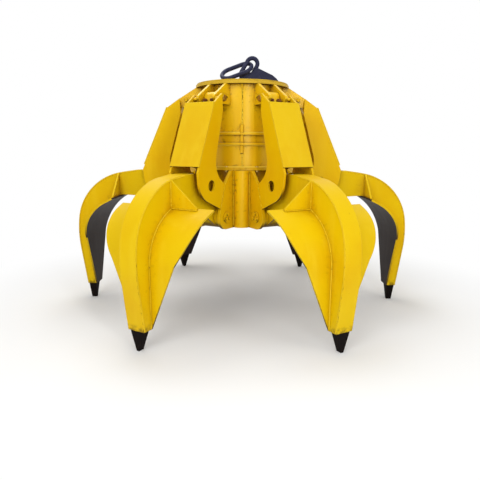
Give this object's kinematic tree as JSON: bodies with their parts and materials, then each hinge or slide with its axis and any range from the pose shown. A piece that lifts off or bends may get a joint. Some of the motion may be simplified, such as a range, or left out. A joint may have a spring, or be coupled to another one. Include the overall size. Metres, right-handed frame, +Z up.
{
  "type": "orange-peel grab",
  "caption": "Electro-hydraulic orange-peel grab with pointed curved tines round a cylindrical hub, each closed by its own cylinder, hung from a chain link.",
  "frame": {"origin": "on the hub's axis, at the level of the tooth tips that the open grab stands on", "axes": "+Z up along the hub's axis; +X out through the first tine; the lifting links lie in the XZ plane"},
  "size_m": [3.455, 3.0822, 2.528],
  "materials": {
    "tine_paint": "satin yellow",
    "shell_paint": "satin yellow",
    "hub_paint": "satin yellow",
    "drum_paint": "satin yellow",
    "plate_paint": "satin yellow",
    "cover_paint": "satin yellow",
    "barrel_paint": "satin yellow",
    "tooth_steel": "dark cast",
    "pin_steel": "greased",
    "rod_chrome": "polished",
    "bolt_steel": "zinc",
    "cap_paint": "painted over",
    "motor_paint": "grey",
    "pump_iron": "plain",
    "lifting_paint": "dark satin",
    "link_paint": "dark satin",
    "gland_brass": "plain"
  },
  "bodies": {
    "hub": {"top_plate": "plate_paint", "upper_drum": "drum_paint", "middle_ring": "drum_paint", "lower_drum": "drum_paint", "hub_column": "hub_paint", "hub_posts": "hub_paint", "hub_lugs": "hub_paint", "cheek_plates": "hub_paint", "guard_covers": "cover_paint", "cylinder_brackets": "hub_paint", "cylinder_pins": "pin_steel", "pin_keepers": "hub_paint", "hinge_pins": "pin_steel", "hinge_caps": "cap_paint", "flange_bolts": "bolt_steel", "motor": "motor_paint", "pump": "pump_iron", "valve_block": "pump_iron", "lifting_bracket": "lifting_paint", "lifting_pin": "lifting_paint", "cable_gland": "gland_brass", "breather_cap": "motor_paint"},
    "tine_1": {"tine_1_frame": "tine_paint", "tine_1_shell": "shell_paint", "tine_1_tooth": "tooth_steel", "tine_1_rod_pin": "pin_steel"},
    "barrel_1": {"cylinder_1_barrel": "barrel_paint"},
    "rod_1": {"cylinder_1_rod": "rod_chrome"},
    "tine_2": {"tine_2_frame": "tine_paint", "tine_2_shell": "shell_paint", "tine_2_tooth": "tooth_steel", "tine_2_rod_pin": "pin_steel"},
    "barrel_2": {"cylinder_2_barrel": "barrel_paint"},
    "rod_2": {"cylinder_2_rod": "rod_chrome"},
    "tine_3": {"tine_3_frame": "tine_paint", "tine_3_shell": "shell_paint", "tine_3_tooth": "tooth_steel", "tine_3_rod_pin": "pin_steel"},
    "barrel_3": {"cylinder_3_barrel": "barrel_paint"},
    "rod_3": {"cylinder_3_rod": "rod_chrome"},
    "tine_4": {"tine_4_frame": "tine_paint", "tine_4_shell": "shell_paint", "tine_4_tooth": "tooth_steel", "tine_4_rod_pin": "pin_steel"},
    "barrel_4": {"cylinder_4_barrel": "barrel_paint"},
    "rod_4": {"cylinder_4_rod": "rod_chrome"},
    "tine_5": {"tine_5_frame": "tine_paint", "tine_5_shell": "shell_paint", "tine_5_tooth": "tooth_steel", "tine_5_rod_pin": "pin_steel"},
    "barrel_5": {"cylinder_5_barrel": "barrel_paint"},
    "rod_5": {"cylinder_5_rod": "rod_chrome"},
    "tine_6": {"tine_6_frame": "tine_paint", "tine_6_shell": "shell_paint", "tine_6_tooth": "tooth_steel", "tine_6_rod_pin": "pin_steel"},
    "barrel_6": {"cylinder_6_barrel": "barrel_paint"},
    "rod_6": {"cylinder_6_rod": "rod_chrome"},
    "link_short": {"short_link": "link_paint"},
    "link_long": {"long_link": "link_paint"}
  },
  "joints": [
    {"name": "tine_1_hinge", "type": "hinge", "parent": "hub", "child": "tine_1", "pos_m": [0.558, 0, 0.975], "axis": [0, 1, 0], "range_deg": [0, 67]},
    {"name": "barrel_1_swing", "type": "hinge", "parent": "hub", "child": "barrel_1", "pos_m": [0.515, 0, 2.07], "axis": [0, 1, 0], "range_deg": [0, 0.758]},
    {"name": "rod_1_slide", "type": "slide", "parent": "barrel_1", "child": "rod_1", "axis": [0.3451, 0, -0.9386], "range_m": [0, 0.43578]},
    {"name": "tine_2_hinge", "type": "hinge", "parent": "hub", "child": "tine_2", "pos_m": [0.279, 0.48324, 0.975], "axis": [-0.866, 0.5, 0], "range_deg": [0, 67]},
    {"name": "barrel_2_swing", "type": "hinge", "parent": "hub", "child": "barrel_2", "pos_m": [0.2575, 0.446, 2.07], "axis": [-0.866, 0.5, 0], "range_deg": [0, 0.758]},
    {"name": "rod_2_slide", "type": "slide", "parent": "barrel_2", "child": "rod_2", "axis": [0.1725, 0.2989, -0.9386], "range_m": [0, 0.43578]},
    {"name": "tine_3_hinge", "type": "hinge", "parent": "hub", "child": "tine_3", "pos_m": [-0.279, 0.48324, 0.975], "axis": [-0.866, -0.5, 0], "range_deg": [0, 67]},
    {"name": "barrel_3_swing", "type": "hinge", "parent": "hub", "child": "barrel_3", "pos_m": [-0.2575, 0.446, 2.07], "axis": [-0.866, -0.5, 0], "range_deg": [0, 0.758]},
    {"name": "rod_3_slide", "type": "slide", "parent": "barrel_3", "child": "rod_3", "axis": [-0.1725, 0.2989, -0.9386], "range_m": [0, 0.43578]},
    {"name": "tine_4_hinge", "type": "hinge", "parent": "hub", "child": "tine_4", "pos_m": [-0.558, 0, 0.975], "axis": [0, -1, 0], "range_deg": [0, 67]},
    {"name": "barrel_4_swing", "type": "hinge", "parent": "hub", "child": "barrel_4", "pos_m": [-0.515, 0, 2.07], "axis": [0, -1, 0], "range_deg": [0, 0.758]},
    {"name": "rod_4_slide", "type": "slide", "parent": "barrel_4", "child": "rod_4", "axis": [-0.3451, 0, -0.9386], "range_m": [0, 0.43578]},
    {"name": "tine_5_hinge", "type": "hinge", "parent": "hub", "child": "tine_5", "pos_m": [-0.279, -0.48324, 0.975], "axis": [0.866, -0.5, 0], "range_deg": [0, 67]},
    {"name": "barrel_5_swing", "type": "hinge", "parent": "hub", "child": "barrel_5", "pos_m": [-0.2575, -0.446, 2.07], "axis": [0.866, -0.5, 0], "range_deg": [0, 0.758]},
    {"name": "rod_5_slide", "type": "slide", "parent": "barrel_5", "child": "rod_5", "axis": [-0.1725, -0.2989, -0.9386], "range_m": [0, 0.43578]},
    {"name": "tine_6_hinge", "type": "hinge", "parent": "hub", "child": "tine_6", "pos_m": [0.279, -0.48324, 0.975], "axis": [0.866, 0.5, 0], "range_deg": [0, 67]},
    {"name": "barrel_6_swing", "type": "hinge", "parent": "hub", "child": "barrel_6", "pos_m": [0.2575, -0.446, 2.07], "axis": [0.866, 0.5, 0], "range_deg": [0, 0.758]},
    {"name": "rod_6_slide", "type": "slide", "parent": "barrel_6", "child": "rod_6", "axis": [0.1725, -0.2989, -0.9386], "range_m": [0, 0.43578]},
    {"name": "link_short_swing", "type": "hinge", "parent": "hub", "child": "link_short", "pos_m": [0.032, 0, 2.342], "axis": [0, 1, 0], "range_deg": [-30.51, 0]},
    {"name": "link_long_swing", "type": "hinge", "parent": "link_short", "child": "link_long", "pos_m": [0.089, 0, 2.438], "axis": [0, 1, 0], "range_deg": [0, 140.51]}
  ],
  "couplings": [
    {"joint": "barrel_1_swing", "follows": "tine_1_hinge", "ratio": 0.011301},
    {"joint": "rod_1_slide", "follows": "tine_1_hinge", "m_per_rad": 0.37266},
    {"joint": "barrel_2_swing", "follows": "tine_2_hinge", "ratio": 0.011301},
    {"joint": "rod_2_slide", "follows": "tine_2_hinge", "m_per_rad": 0.37266},
    {"joint": "barrel_3_swing", "follows": "tine_3_hinge", "ratio": 0.011301},
    {"joint": "rod_3_slide", "follows": "tine_3_hinge", "m_per_rad": 0.37266},
    {"joint": "barrel_4_swing", "follows": "tine_4_hinge", "ratio": 0.011301},
    {"joint": "rod_4_slide", "follows": "tine_4_hinge", "m_per_rad": 0.37266},
    {"joint": "barrel_5_swing", "follows": "tine_5_hinge", "ratio": 0.011301},
    {"joint": "rod_5_slide", "follows": "tine_5_hinge", "m_per_rad": 0.37266},
    {"joint": "barrel_6_swing", "follows": "tine_6_hinge", "ratio": 0.011301},
    {"joint": "rod_6_slide", "follows": "tine_6_hinge", "m_per_rad": 0.37266},
    {"joint": "link_short_swing", "follows": "link_long_swing", "ratio": -0.21714}
  ]
}
